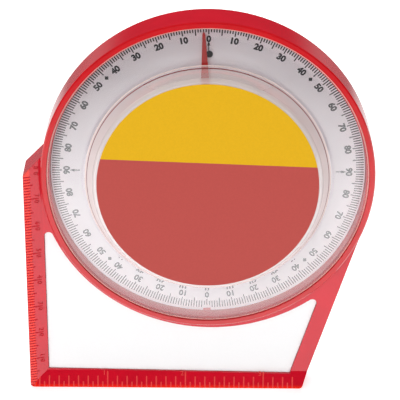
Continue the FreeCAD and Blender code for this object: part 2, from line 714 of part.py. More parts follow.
def make_pivot():
    """Steel axle pressed into the housing, two thrust washers, bush and clip."""
    back = SEAT_FRONT + " - axle_press"
    tip = CLIP_BACK + " + clip_thickness + axle_tip"
    axle = turned_piece("pivot_axle", [
        ("0", back), ("axle_radius", back), ("axle_radius", tip + " - axle_bevel"),
        ("axle_radius - axle_bevel", tip), ("0", tip)])
    bore = "axle_radius + running_gap"
    rings = [("washer_rear", bore, "washer_radius", SEAT_FRONT, "washer_thickness"),
             ("hub_bush", bore, "bush_radius", BUSH_BACK, "bush_length"),
             ("washer_front", bore, "washer_radius", CLIP_BACK + " - washer_thickness",
              "washer_thickness")]
    pieces = [axle]
    for label, inner, outer, start, length in rings:
        end = start + " + " + length
        pieces.append(turned_piece(label, [(inner, start), (outer, start),
                                           (outer, end), (inner, end)]))
    pieces.append(make_clip())
    return pieces


def make_clip():
    """Push-on clip: a ring with slits between the teeth that grip the axle."""
    body = new_body("retaining_clip", at_dial=True)
    ring = new_sketch(body, "clip_outline", CLIP_BACK)
    add_circle(ring, "clip_radius")
    add_circle(ring, "axle_radius")
    pad(body, ring, "clip_ring", "clip_thickness")
    gap = new_sketch(body, "clip_gap_outline", CLIP_BACK + " + clip_thickness")
    add_rectangle(gap, "0", "clip_radius - clip_rim", "0 - clip_slit / 2", "clip_slit / 2")
    cut = pocket(body, gap, "clip_gap", "clip_thickness")
    pattern = body.newObject("PartDesign::PolarPattern", "clip_gaps")
    pattern.Originals = [cut]
    pattern.Axis = (gap, ["N_Axis"])
    pattern.Angle = 360
    pattern.Occurrences = int(size("clip_teeth"))
    body.Tip = pattern
    document.recompute()
    return body


def make_pointer():
    """Hub plate, tapered needle and tail arm, moulded in one."""
    body = new_body("pointer", at_dial=True)
    hub = new_sketch(body, "hub_outline", NEEDLE_BACK)
    add_circle(hub, "hub_radius")
    pad(body, hub, "hub", "hub_height")
    needle = new_sketch(body, "needle_outline", NEEDLE_BACK)
    reach = "needle_reach"
    lean_out = " * cos(pointer_rest)"
    lean_off = " * sin(pointer_rest)"
    corners = [("needle_root_width / 2", "0"),
               ("needle_tip_width / 2", reach + " - needle_point"),
               ("0", reach),
               ("0 - needle_tip_width / 2", reach + " - needle_point"),
               ("0 - needle_root_width / 2", "0")]
    add_polygon(needle, [
        ("(" + x + ")" + lean_out + " - (" + y + ")" + lean_off,
         "(" + x + ")" + lean_off + " + (" + y + ")" + lean_out) for x, y in corners])
    pad(body, needle, "needle", "pointer_thickness")
    tail = new_sketch(body, "tail_outline", NEEDLE_BACK)
    add_rectangle(tail, "0 - tail_width / 2", "tail_width / 2",
                  "0 - rivet_reach - rivet_spacing - tail_width / 2", "0")
    pad(body, tail, "tail", "pointer_thickness")
    holes = new_sketch(body, "pointer_holes_outline", NEEDLE_BACK + " + hub_height")
    add_circle(holes, "bush_radius")
    pocket(body, holes, "bush_hole", "hub_height")
    rivets = new_sketch(body, "pointer_rivet_holes_outline", NEEDLE_FRONT)
    for y in rivet_places():
        add_circle(rivets, "rivet_radius", "0", y)
    pocket(body, rivets, "rivet_holes", "pointer_thickness")
    return body


def rivet_places():
    return ["0 - rivet_reach", "0 - rivet_reach - rivet_spacing"]


def make_counterweight():
    """Cast weight: a sector of a thick ring, hung below the pivot."""
    body = new_body("counterweight", at_dial=True)
    sketch = new_sketch(body, "weight_outline", NEEDLE_FRONT)
    half = "(weight_angle / 2)"
    start = math.radians(-90 - size(half))
    end = math.radians(-90 + size(half))
    up = Vector(0, 0, 1)
    arcs = [sketch.addGeometry(Part.ArcOfCircle(
        Part.Circle(Vector(), up, size(radius)), start, end))
        for radius in ("weight_inner", "weight_outer")]

    def end_point(radius, side):
        return ("%d * %s * sin%s" % (side, radius, half),
                "0 - %s * cos%s" % (radius, half))

    flanks = []
    for side in (-1, 1):
        first = end_point("weight_inner", side)
        last = end_point("weight_outer", side)
        flanks.append(sketch.addGeometry(Part.LineSegment(
            Vector(size(first[0]), size(first[1]), 0),
            Vector(size(last[0]), size(last[1]), 0))))
        pin(sketch, flanks[-1], 1, *first)
        pin(sketch, flanks[-1], 2, *last)
    for number, arc in enumerate(arcs, start=1):
        for tip, flank in ((1, flanks[0]), (2, flanks[1])):
            sketch.addConstraint(Sketcher.Constraint("Coincident", arc, tip, flank, number))
    for arc, radius in zip(arcs, ("weight_inner", "weight_outer")):
        index = sketch.addConstraint(Sketcher.Constraint("Radius", arc, size(radius)))
        sketch.setExpression("Constraints[%d]" % index, named(radius))
    pad(body, sketch, "weight", "weight_thickness")
    rivets = new_sketch(body, "weight_rivet_holes_outline",
                        NEEDLE_FRONT + " + weight_thickness")
    for y in rivet_places():
        add_circle(rivets, "rivet_radius", "0", y)
    pocket(body, rivets, "weight_rivet_holes", "weight_thickness")
    return body


def make_rivets():
    """Two rivets through weight and tail, as one group of solids."""
    shapes = []
    back = NEEDLE_BACK + " - rivet_head"
    front = NEEDLE_FRONT + " + weight_thickness"
    profile = [("0", back), ("rivet_head_radius - rivet_bevel", back),
               ("rivet_head_radius", NEEDLE_BACK), ("rivet_radius", NEEDLE_BACK),
               ("rivet_radius", front), ("rivet_head_radius", front),
               ("rivet_head_radius - rivet_bevel", front + " + rivet_head"),
               ("0", front + " + rivet_head")]
    for y in rivet_places():
        corners = [Vector(size(r), 0, size(z)) for r, z in profile]
        face = Part.Face(Part.makePolygon(corners + corners[:1]))
        rivet = face.revolve(Vector(), Vector(0, 0, 1), 360)
        rivet.translate(Vector(0, size(y), 0))
        shapes.append(rivet)
    group = document.addObject("Part::Feature", "weight_rivets")
    group.Label = "weight_rivets"
    group.Shape = Part.makeCompound(shapes)
    group.Placement = FreeCAD.Placement(
        Vector(size(DIAL_X), size("0 - body_depth / 2"), size("dial_height")),
        Rotation(Vector(1, 0, 0), 90))
    return group


def make_base_pieces():
    """Two steel pole strips and three ferrite magnets that bridge them."""
    pieces = []
    for label, side in (("pole_strip_rear", -1), ("pole_strip_front", 1)):
        body = new_body(label)
        sketch = new_sketch(body, label + "_outline", "0", role="XZ_Plane")
        near = MID_DEPTH + " + %d * pole_gap_width / 2" % side
        away = near + " + %d * pole_thickness" % side
        low, high = (away, near) if side < 0 else (near, away)
        add_rectangle(sketch, "0 - pole_length / 2", "pole_length / 2", low, high)
        strip = pad(body, sketch, label + "_strip", "pole_height")
        strip.Reversed = True
        document.recompute()
        pieces.append(body)
    for label, place in zip(MAGNETS, magnet_places()):
        body = new_body(label)
        sketch = new_sketch(body, label + "_outline",
                            MID_DEPTH + " - pole_gap_width / 2 - pole_thickness")
        add_rectangle(sketch, place + " - magnet_length / 2", place + " + magnet_length / 2",
                      "pole_height", "pole_height + magnet_height")
        pad(body, sketch, label + "_block", "pole_gap_width + 2 * pole_thickness")
        pieces.append(body)
    return pieces


def make_all():
    pieces = [make_front_body(), make_rear_cover(), make_cover_screws(), make_panel(),
              make_dial(), make_peg(), make_lens(), make_label(), make_pointer(),
              make_counterweight(), make_rivets()]
    return pieces + make_pivot() + make_base_pieces()


def check_all(pieces):
    document.recompute()
    for item in document.Objects:
        if "Invalid" in item.State or "Error" in item.State:
            raise RuntimeError(item.Label + " failed: " + str(item.State))
    for piece in pieces:
        if piece.Shape.isNull() or not piece.Shape.isValid():
            raise RuntimeError(piece.Label + " has no valid shape")


def write_all(pieces):
    os.makedirs("parts", exist_ok=True)
    for piece in pieces:
        piece.Shape.exportStep("parts/" + piece.Label + ".step")


pieces = make_all()
check_all(pieces)
write_all(pieces)
for piece in pieces:
    box = piece.Shape.BoundBox
    print("%-16s solids %d volume %9.2f  x %7.2f %7.2f  y %7.2f %7.2f  z %7.2f %7.2f" % (
        piece.Label, len(piece.Shape.Solids), piece.Shape.Volume,
        box.XMin, box.XMax, box.YMin, box.YMax, box.ZMin, box.ZMax))
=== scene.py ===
import math
import bmesh
import bpy
from mathutils import Matrix, Vector


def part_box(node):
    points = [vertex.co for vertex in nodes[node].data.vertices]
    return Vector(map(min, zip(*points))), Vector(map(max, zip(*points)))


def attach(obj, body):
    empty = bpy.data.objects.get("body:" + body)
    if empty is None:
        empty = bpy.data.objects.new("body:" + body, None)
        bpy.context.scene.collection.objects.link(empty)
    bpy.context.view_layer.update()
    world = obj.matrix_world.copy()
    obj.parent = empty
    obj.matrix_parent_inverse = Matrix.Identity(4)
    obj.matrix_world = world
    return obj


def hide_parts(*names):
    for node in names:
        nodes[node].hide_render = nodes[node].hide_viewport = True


# Dial angle meter: red moulded housing, white panel, printed dial behind a clear lens.
# Metres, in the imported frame: X right, Y back, Z up from the magnetic base.

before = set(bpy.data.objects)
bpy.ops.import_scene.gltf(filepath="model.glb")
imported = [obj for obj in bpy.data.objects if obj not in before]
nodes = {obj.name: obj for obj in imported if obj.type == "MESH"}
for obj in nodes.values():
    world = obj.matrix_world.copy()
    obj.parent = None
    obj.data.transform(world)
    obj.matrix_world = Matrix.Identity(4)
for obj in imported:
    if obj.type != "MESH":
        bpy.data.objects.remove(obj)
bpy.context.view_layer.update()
mm = 0.001
print("frame loaded,", len(nodes), "nodes")


def linear(hexColour):
    # sRGB hex to linear RGBA
    parts = [int(hexColour[i:i + 2], 16) / 255 for i in (0, 2, 4)]
    return tuple(p / 12.92 if p <= 0.04045 else ((p + 0.055) / 1.055) ** 2.4
                 for p in parts) + (1.0,)


def addNode(tree, kind, inputs=None, **settings):
    # one node with its settings, and its inputs as values or as links
    node = tree.nodes.new(kind)
    for name, value in settings.items():
        setattr(node, name, value)
    for name, value in (inputs or {}).items():
        if isinstance(value, bpy.types.NodeSocket):
            tree.links.new(value, node.inputs[name])
        else:
            node.inputs[name].default_value = value
    return node


def newMaterial(name):
    material = bpy.data.materials.new(name)
    material.use_nodes = True
    material.node_tree.nodes.clear()
    return material, material.node_tree


def finishMaterial(tree, shader):
    addNode(tree, "ShaderNodeOutputMaterial", {"Surface": shader})


def dressNode(name, material):
    nodes[name].data.materials.clear()
    nodes[name].data.materials.append(material)


# camera: fitted to the rulers, the ring and the straight edges
camera = {
    "place": (12.63, -537.51, 328.54),   # mm
    "rise": 63.92,           # degrees up from looking straight down
    "heading": 0.21,         # degrees, turned to the left
    "roll": 0.3,
    "lens": 171.2,
    "sensor": 36.0,
    "shift": (0.0003, 0.0005),
}

cameraData = bpy.data.cameras.new("studioCamera")
cameraObject = bpy.data.objects.new("studioCamera", cameraData)
bpy.context.collection.objects.link(cameraObject)
cameraObject.matrix_world = (
    Matrix.Translation(Vector(camera["place"]) * mm)
    @ Matrix.Rotation(math.radians(camera["heading"]), 4, "Z")
    @ Matrix.Rotation(math.radians(camera["rise"]), 4, "X")
    @ Matrix.Rotation(math.radians(camera["roll"]), 4, "Z"))
cameraData.lens = camera["lens"]
cameraData.sensor_width = camera["sensor"]
cameraData.shift_x, cameraData.shift_y = camera["shift"]
cameraData.clip_start, cameraData.clip_end = 0.01, 20
bpy.context.scene.camera = cameraObject
bpy.context.scene.view_settings.view_transform = "Standard"
print("camera placed")

# studio: a white table lit softly from under its paper, in a dim room with two soft lamps
studio = {
    "roomLight": 0.315,
    "roomColour": "FFFEFD",
    "wallFoot": 0.28,        # how bright the walls are seen in gloss, level with the table
    "wallTop": 0.06,         # and from a few degrees above it
    "wallRise": 0.18,        # upward part of the direction where that is reached
    "wallAhead": (-0.2, -0.6),   # forward part of the direction where the walls dim
    "aheadShare": 0.06,      # share of their light left there, behind the camera
    "tableSize": 3.0,
    "tableDrop": 0.02,       # mm under the base
    "tableColour": "EFEFEF",
    "tableWhite": 0.55,      # the paper's own light as it is seen, so that it shows as white
    "tableGlow": 0.64,       # light that comes up through the paper
    "tableNear": 1.45,       # painted pool of light: how bright the table is seen in gloss beside the meter
    "tableFar": 0.12,        # and a quarter of a metre in front of it
    "frontFade": (-0.27, -0.14),
    "tableBehind": 0.16,     # share of that light left half a metre behind it
    "backFade": (0.03, 0.5),
    "lampSize": 0.9,
    "lampAim": (0.01, 0.0, 0.065),
    "keyPower": 5.7,
    "keyPlace": (-0.3, -1.0, 0.7),
    "topPower": 9.2,
    "topPlace": (0.0, 0.45, 1.1),
}


def makeRoom():
    world = bpy.data.worlds.new("dimRoom")
    bpy.context.scene.world = world
    world.use_nodes = True
    tree = world.node_tree
    tree.nodes.clear()
    path = addNode(tree, "ShaderNodeLightPath")
    direction = addNode(tree, "ShaderNodeTexCoord")
    axes = addNode(tree, "ShaderNodeSeparateXYZ", {0: direction.outputs["Generated"]})
    # in gloss the walls fade from the table's white to dark within a few degrees
    fade = addNode(tree, "ShaderNodeMapRange", {
        "Value": axes.outputs["Z"], "From Min": 0.0, "From Max": studio["wallRise"],
        "To Min": studio["wallFoot"], "To Max": studio["wallTop"]},
        interpolation_type="SMOOTHSTEP")
    ahead = addNode(tree, "ShaderNodeMapRange", {
        "Value": axes.outputs["Y"], "From Min": studio["wallAhead"][0],
        "From Max": studio["wallAhead"][1], "To Min": 1.0, "To Max": studio["aheadShare"]})
    walls = addNode(tree, "ShaderNodeMath", {
        0: fade.outputs[0], 1: ahead.outputs[0]}, operation="MULTIPLY")
    mirrored = addNode(tree, "ShaderNodeBackground", {
        "Color": linear(studio["roomColour"]), "Strength": walls.outputs[0]})
    white = addNode(tree, "ShaderNodeBackground", {
        "Color": linear("FFFFFF"), "Strength": 1.0})
    shown = addNode(tree, "ShaderNodeMixShader", {
        0: path.outputs["Is Glossy Ray"], 1: white.outputs[0], 2: mirrored.outputs[0]})
    # what has met a matt surface on its way is the room's light, not its picture
    light = addNode(tree, "ShaderNodeBackground", {
        "Color": linear(studio["roomColour"]), "Strength": studio["roomLight"]})
    scattered = addNode(tree, "ShaderNodeMath", {
        0: path.outputs["Diffuse Depth"], 1: 0.5}, operation="GREATER_THAN")
    mixed = addNode(tree, "ShaderNodeMixShader", {
        0: scattered.outputs[0], 1: shown.outputs[0], 2: light.outputs[0]})
    addNode(tree, "ShaderNodeOutputWorld", {"Surface": mixed.outputs[0]})


def makeTable():
    half = studio["tableSize"] / 2
    mesh = bpy.data.meshes.new("paperTable")
    mesh.from_pydata([(-half, -half, 0), (half, -half, 0), (half, half, 0), (-half, half, 0)],
                     [], [(0, 1, 2, 3)])
    table = bpy.data.objects.new("paperTable", mesh)
    bpy.context.collection.objects.link(table)
    table.location.z = -studio["tableDrop"] * mm

    # white paper: diffuse, with light from below that makes it show as the background
    material, tree = newMaterial("whitePaper")
    path = addNode(tree, "ShaderNodeLightPath")
    paper = addNode(tree, "ShaderNodeBsdfDiffuse", {"Color": linear(studio["tableColour"])})
    level = addNode(tree, "ShaderNodeMapRange", {
        "Value": path.outputs["Is Camera Ray"], "To Min": studio["tableGlow"],
        "To Max": studio["tableWhite"]})
    glow = addNode(tree, "ShaderNodeEmission", {
        "Color": linear("FFFFFF"), "Strength": level.outputs[0]})
    lit = addNode(tree, "ShaderNodeAddShader", {0: paper.outputs[0], 1: glow.outputs[0]})
    # seen in gloss it carries a painted pool of light round the meter's foot, fading ahead of
    # it and behind it
    coordinates = addNode(tree, "ShaderNodeTexCoord")
    axes = addNode(tree, "ShaderNodeSeparateXYZ", {0: coordinates.outputs["Object"]})
    near = addNode(tree, "ShaderNodeMapRange", {
        "Value": axes.outputs["Y"], "From Min": studio["frontFade"][0],
        "From Max": studio["frontFade"][1], "To Min": studio["tableFar"],
        "To Max": studio["tableNear"]})
    behind = addNode(tree, "ShaderNodeMapRange", {
        "Value": axes.outputs["Y"], "From Min": studio["backFade"][0],
        "From Max": studio["backFade"][1], "To Min": 1.0, "To Max": studio["tableBehind"]},
        interpolation_type="SMOOTHSTEP")
    shown = addNode(tree, "ShaderNodeMath", {
        0: near.outputs[0], 1: behind.outputs[0]}, operation="MULTIPLY")
    mirrored = addNode(tree, "ShaderNodeEmission", {
        "Color": linear("FFFFFF"), "Strength": shown.outputs[0]})
    mixed = addNode(tree, "ShaderNodeMixShader", {
        0: path.outputs["Is Glossy Ray"], 1: lit.outputs[0], 2: mirrored.outputs[0]})
    finishMaterial(tree, mixed.outputs[0])
    mesh.materials.append(material)


def makeLamp(name, position, power):
    data = bpy.data.lights.new(name, "AREA")
    data.shape = "SQUARE"
    data.size = studio["lampSize"]
    data.energy = power
    lamp = bpy.data.objects.new(name, data)
    bpy.context.collection.objects.link(lamp)
    lamp.location = position
    aim = Vector(studio["lampAim"]) - Vector(position)
    lamp.rotation_euler = aim.to_track_quat("-Z", "Y").to_euler()
    lamp.visible_camera = False
    lamp.visible_glossy = False     # the photograph shows no lamp in the clear plastic


makeRoom()
makeTable()
makeLamp("keySoftbox", studio["keyPlace"], studio["keyPower"])
makeLamp("topSoftbox", studio["topPlace"], studio["topPower"])
print("studio lit")

# places shared by the pieces, in mm, read from the frame
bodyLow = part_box("front_body")[0]
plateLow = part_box("scale_dial")[0]
lensLow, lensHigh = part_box("lens")
place = {
    "dial": (round((lensLow.x + lensHigh.x) / 2 / mm, 2),
             round((lensLow.z + lensHigh.z) / 2 / mm, 2)),
    "frontY": round(bodyLow.y / mm, 2),
    "dialFaceY": round(plateLow.y / mm, 2),
    "leftX": round(bodyLow.x / mm, 2),
    "faceWidth": 5.6,        # the sloping faces of the two rulers
    "faceDrop": 1.9,
}
dialCentre = Vector((place["dial"][0], 0, place["dial"][1])) * mm

# most of a noise texture's values lie between these two
noiseLow = 0.3
noiseHigh = 0.7

# red gloss ABS, injection moulded in a polished tool: deep and even, with a wet highlight,
# and a painted warm glow on the thin outer edges, standing in for light that comes through
# them
redShell = {
    "deep": "D20A26",
    # painted glow of the thin edges
    "paintedEdgeGlow": "FF2A0C",
    # painted warm glow on the dial ring's front
    "paintedRimGlow": "C8140F",
    "roughness": 0.14,
    "coat": 0.5,
    "coatRoughness": 0.05,
    "ior": 1.52,
    "edgeRadius": 0.22,      # mm, softened corners of the moulding
    "flowSize": 9.0,         # mm, slow unevenness of the moulded surface
    "flowTint": (0.95, 1.05),
    "grainSize": 0.5,        # mm, fine orange peel, drawn coarser than it is
    "grainStrength": 0.05,
    "grainDepth": 0.05,      # mm
    "columnGlow": (2.5, 1.7),    # mm from the edge, where the painted glow starts and is full
    "barGlow": (1.4, 0.1),
    "glowDepth": (1.7, 0.9),     # mm behind the front, where the painted glow ends and is full
    "paintedRimGlowShare": 0.6,         # how far the dial ring's front takes a painted warm glow
    "rimRadius": (52.6, 51.8),   # mm from the dial's axis
    "rimDepth": (1.2, 0.1),      # mm behind the front
    "cupRadius": 49.4,       # mm, inside this the cup's wall is drawn satin, not gloss
    "cupRoughness": 0.36,
}


def makeRedShell():
    material, tree = newMaterial("redAbsMouldedGloss")
    coordinates = addNode(tree, "ShaderNodeTexCoord")
    axes = addNode(tree, "ShaderNodeSeparateXYZ", {0: coordinates.outputs["Object"]})
    # painted glow of the thin ruled edges, on their front side only
    columnStart, columnFull = redShell["columnGlow"]
    columnEdge = addNode(tree, "ShaderNodeMapRange", {
        "Value": axes.outputs["X"], "From Min": (place["leftX"] + columnStart) * mm,
        "From Max": (place["leftX"] + columnFull) * mm},
        interpolation_type="SMOOTHSTEP")
    barStart, barFull = redShell["barGlow"]
    barEdge = addNode(tree, "ShaderNodeMapRange", {
        "Value": axes.outputs["Z"], "From Min": barStart * mm, "From Max": barFull * mm},
        interpolation_type="SMOOTHSTEP")
    eitherEdge = addNode(tree, "ShaderNodeMath", {
        0: columnEdge.outputs[0], 1: barEdge.outputs[0]}, operation="MAXIMUM")
    glowEnd, glowFull = redShell["glowDepth"]
    onFace = addNode(tree, "ShaderNodeMapRange", {
        "Value": axes.outputs["Y"], "From Min": (place["frontY"] + glowEnd) * mm,
        "From Max": (place["frontY"] + glowFull) * mm})
    ruled = addNode(tree, "ShaderNodeMath", {
        0: eitherEdge.outputs[0], 1: onFace.outputs[0]}, operation="MULTIPLY")
    # distance from the dial's axis, for the painted glow on the ring's front and for the cup
    level = addNode(tree, "ShaderNodeCombineXYZ", {
        0: axes.outputs["X"], 2: axes.outputs["Z"]})
    radius = addNode(tree, "ShaderNodeVectorMath", {
        0: level.outputs[0], 1: dialCentre}, operation="DISTANCE")
    rimOutside, rimInside = redShell["rimRadius"]
    ring = addNode(tree, "ShaderNodeMapRange", {
        "Value": radius.outputs["Value"], "From Min": rimOutside * mm,
        "From Max": rimInside * mm, "To Max": redShell["paintedRimGlowShare"]})
    rimBack, rimFront = redShell["rimDepth"]
    front = addNode(tree, "ShaderNodeMapRange", {
        "Value": axes.outputs["Y"], "From Min": (place["frontY"] + rimBack) * mm,
        "From Max": (place["frontY"] + rimFront) * mm})
    rim = addNode(tree, "ShaderNodeMath", {
        0: ring.outputs[0], 1: front.outputs[0]}, operation="MULTIPLY")
    flow = addNode(tree, "ShaderNodeTexNoise", {
        "Vector": coordinates.outputs["Object"], "Scale": 1 / (redShell["flowSize"] * mm),
        "Detail": 2.0})
    flowTint = addNode(tree, "ShaderNodeMapRange", {
        "Value": flow.outputs[0], "From Min": noiseLow, "From Max": noiseHigh,
        "To Min": redShell["flowTint"][0], "To Max": redShell["flowTint"][1]})
    glowing = addNode(tree, "ShaderNodeMix", {
        0: ruled.outputs[0], 6: linear(redShell["deep"]), 7: linear(redShell["paintedEdgeGlow"])},
        data_type="RGBA")
    # painted glow: the ring's front turns to a warmer red
    colour = addNode(tree, "ShaderNodeMix", {
        0: rim.outputs[0], 6: glowing.outputs[2], 7: linear(redShell["paintedRimGlow"])},
        data_type="RGBA")
    tinted = addNode(tree, "ShaderNodeHueSaturation", {
        "Color": colour.outputs[2], "Value": flowTint.outputs[0]})
    soft = addNode(tree, "ShaderNodeBevel", {"Radius": redShell["edgeRadius"] * mm}, samples=4)
    grain = addNode(tree, "ShaderNodeTexNoise", {
        "Vector": coordinates.outputs["Object"], "Scale": 1 / (redShell["grainSize"] * mm),
        "Detail": 3.0})
    peel = addNode(tree, "ShaderNodeBump", {
        "Height": grain.outputs[0], "Strength": redShell["grainStrength"],
        "Distance": redShell["grainDepth"] * mm, "Normal": soft.outputs[0]})
    plain = addNode(tree, "ShaderNodeNewGeometry")
    inCup = addNode(tree, "ShaderNodeMath", {
        0: radius.outputs["Value"], 1: redShell["cupRadius"] * mm}, operation="LESS_THAN")
    facing = addNode(tree, "ShaderNodeMix", {
        0: inCup.outputs[0], 4: peel.outputs[0], 5: plain.outputs["Normal"]},
        data_type="VECTOR")
    rough = addNode(tree, "ShaderNodeMapRange", {
        "Value": inCup.outputs[0], "To Min": redShell["roughness"],
        "To Max": redShell["cupRoughness"]})
    coat = addNode(tree, "ShaderNodeMapRange", {
        "Value": inCup.outputs[0], "To Min": redShell["coat"], "To Max": 0.0})
    shader = addNode(tree, "ShaderNodeBsdfPrincipled", {
        "Base Color": tinted.outputs[0], "Roughness": rough.outputs[0],
        "IOR": redShell["ior"], "Coat Weight": coat.outputs[0],
        "Coat Roughness": redShell["coatRoughness"], "Normal": facing.outputs[1]})
    finishMaterial(tree, shader.outputs[0])
    return material


dressNode("front_body", makeRedShell())

# rear cover: the same ABS from a blasted tool, so it is satin with a fine even grain
rearShell = {
    "colour": "B90A20",
    "tint": (0.92, 1.05),
    "roughness": 0.38,
    "ior": 1.54,
    "edgeRadius": 0.2,       # mm
    "grainSize": 0.35,       # mm
    "grainStrength": 0.35,
    "grainDepth": 0.06,      # mm
}


def makeRearShell():
    material, tree = newMaterial("redAbsMouldedSatin")
    coordinates = addNode(tree, "ShaderNodeTexCoord")
    grain = addNode(tree, "ShaderNodeTexNoise", {
        "Vector": coordinates.outputs["Object"], "Scale": 1 / (rearShell["grainSize"] * mm),
        "Detail": 4.0})
    tint = addNode(tree, "ShaderNodeMapRange", {
        "Value": grain.outputs[0], "From Min": noiseLow, "From Max": noiseHigh,
        "To Min": rearShell["tint"][0], "To Max": rearShell["tint"][1]})
    colour = addNode(tree, "ShaderNodeHueSaturation", {
        "Color": linear(rearShell["colour"]), "Value": tint.outputs[0]})
    soft = addNode(tree, "ShaderNodeBevel", {"Radius": rearShell["edgeRadius"] * mm},
                   samples=4)
    bump = addNode(tree, "ShaderNodeBump", {
        "Height": grain.outputs[0], "Strength": rearShell["grainStrength"],
        "Distance": rearShell["grainDepth"] * mm, "Normal": soft.outputs[0]})
    shader = addNode(tree, "ShaderNodeBsdfPrincipled", {
        "Base Color": colour.outputs[0], "Roughness": rearShell["roughness"],
        "IOR": rearShell["ior"], "Normal": bump.outputs[0]})
    finishMaterial(tree, shader.outputs[0])
    return material


dressNode("rear_cover", makeRearShell())
print("red shells finished")

# plain sheets and mouldings
plainPlastics = {
    # extruded polystyrene sheet: flat white with a soft sheen
    "white_panel": {"name": "whiteStyreneSheet", "colour": "F6F8F9", "roughness": 0.42,
                    "grainSize": 0.6, "grainStrength": 0.10},
    # moulded and screen printed ABS: a clean near-white that takes the print evenly
    "scale_dial": {"name": "whiteAbsDialPrinted", "colour": "F9F7F8", "roughness": 0.45,
                   "grainSize": 0.4, "grainStrength": 0.10},
    # moulded nylon: black with a low waxy sheen
    "dial_peg": {"name": "blackNylonMoulded", "colour": "1B1A1C", "roughness": 0.30,
                 "grainSize": 0.3, "grainStrength": 0.15},
    # moulded acetal: opaque red, a little waxy
    "pointer": {"name": "redAcetalMoulded", "colour": "C42E28", "roughness": 0.35,
                "grainSize": 0.3, "grainStrength": 0.12},
}
plainSurface = {
    "tint": (0.985, 1.0),
    "ior": 1.5,
    "grainDepth": 0.05,      # mm
}


def makePlain(plastic):
    material, tree = newMaterial(plastic["name"])
    coordinates = addNode(tree, "ShaderNodeTexCoord")
    grain = addNode(tree, "ShaderNodeTexNoise", {
        "Vector": coordinates.outputs["Object"], "Scale": 1 / (plastic["grainSize"] * mm),
        "Detail": 3.0})
    tint = addNode(tree, "ShaderNodeMapRange", {
        "Value": grain.outputs[0], "From Min": noiseLow, "From Max": noiseHigh,
        "To Min": plainSurface["tint"][0], "To Max": plainSurface["tint"][1]})
    shade = addNode(tree, "ShaderNodeHueSaturation", {
        "Color": linear(plastic["colour"]), "Value": tint.outputs[0]})
    bump = addNode(tree, "ShaderNodeBump", {
        "Height": grain.outputs[0], "Strength": plastic["grainStrength"],
        "Distance": plainSurface["grainDepth"] * mm})
    shader = addNode(tree, "ShaderNodeBsdfPrincipled", {
        "Base Color": shade.outputs[0], "Roughness": plastic["roughness"],
        "IOR": plainSurface["ior"], "Normal": bump.outputs[0]})
    finishMaterial(tree, shader.outputs[0])
    return material


for node, plastic in plainPlastics.items():
    dressNode(node, makePlain(plastic))

# label: card screen printed in two flat matt inks, yellow above, dull red below
label = {
    "yellow": "DFAC03",
    "red": "B74B45",
    "split": 8.2,            # mm, boundary above the dial centre
    "tilt": 2.0,             # degrees, falling to the right
    "blur": 0.04,            # mm, softness of the boundary to each side
    "inkSize": 0.5,          # mm, unevenness of the ink
    "inkTint": (0.97, 1.02),
    "roughness": 0.42,
    "ior": 1.5,
    "specular": 0.18,
}


def makeLabel():
    material, tree = newMaterial("screenPrintedMattLabel")
    coordinates = addNode(tree, "ShaderNodeTexCoord")
    axes = addNode(tree, "ShaderNodeSeparateXYZ", {0: coordinates.outputs["Object"]})
    slope = math.tan(math.radians(label["tilt"]))
    along = addNode(tree, "ShaderNodeMath", {
        0: axes.outputs["X"], 1: slope, 2: axes.outputs["Z"]}, operation="MULTIPLY_ADD")
    line = place["dial"][1] + label["split"] + slope * place["dial"][0]
    upper = addNode(tree, "ShaderNodeMapRange", {
        "Value": along.outputs[0], "From Min": (line - label["blur"]) * mm,
        "From Max": (line + label["blur"]) * mm})
    ink = addNode(tree, "ShaderNodeTexNoise", {
        "Vector": coordinates.outputs["Object"], "Scale": 1 / (label["inkSize"] * mm),
        "Detail": 2.0})
    tint = addNode(tree, "ShaderNodeMapRange", {
        "Value": ink.outputs[0], "From Min": noiseLow, "From Max": noiseHigh,
        "To Min": label["inkTint"][0], "To Max": label["inkTint"][1]})
    colour = addNode(tree, "ShaderNodeMix", {
        0: upper.outputs[0], 6: linear(label["red"]), 7: linear(label["yellow"])},
        data_type="RGBA")
    shade = addNode(tree, "ShaderNodeHueSaturation", {
        "Color": colour.outputs[2], "Value": tint.outputs[0]})
    shader = addNode(tree, "ShaderNodeBsdfPrincipled", {
        "Base Color": shade.outputs[0], "Roughness": label["roughness"],
        "IOR": label["ior"], "Specular IOR Level": label["specular"]})
    finishMaterial(tree, shader.outputs[0])
    return material


dressNode("label_disc", makeLabel())

# lens: clear acrylic, injection moulded and polished. Its flat flange bends what lies
# behind it. The thin boss hardly does, so there it is a clear sheet that only mirrors.
lens = {
    "colour": "FDFCFE",
    "ior": 1.49,
    "mirrorRoughness": 0.03,
    "flangeRadius": 39.3,    # mm, the flange starts here
    "bentRadius": 49.95,     # mm, outside this nothing is bent
    "bentRadiusLow": 48.9,   # the same at the foot, where the cup's wall shows through
    "lowHeights": (75.0, 50.0),  # mm above the base, where the foot begins and is full
    "sheen": 0.21,           # share of the bright table seen in the flat front faces
    "sheenAtEdge": 0.04,
    "sheenAtFoot": 0.13,     # the same at the foot of the ring, over the cup's wall
    "sheenRadii": (46.4, 47.8),  # mm, where the front's sheen passes into the edge's
    "frontY": -4.9,          # mm, in front of this the painted reflections below are laid on
    "paintedReflectionHeights": (108.0, 85.0),    # mm, end of the top's strengths, start of the low ones
    # painted reflections and highlights: inner and outer radius in mm, colour, strength at the
    # top and low down
    "paintedReflections": (
        (35.65, 38.2, "FAEBE8", 0.26, 0.68),   # painted reflection of the bright table, stronger low down
        (34.0, 35.65, "FFF3EE", 0.42, 0.42),   # more of it on the step round the label
        (37.85, 38.1, "F8DCD4", 0.5, 0.5),     # painted highlight where the fillet meets the flange
        (37.37, 37.57, "7A0C12", 0.8, 0.8),    # painted reflection of the red shell at the boss's foot
        (49.62, 51.0, "FFC8BE", 0.7, 0.7),     # painted highlight on the trimmed edge
    ),
}


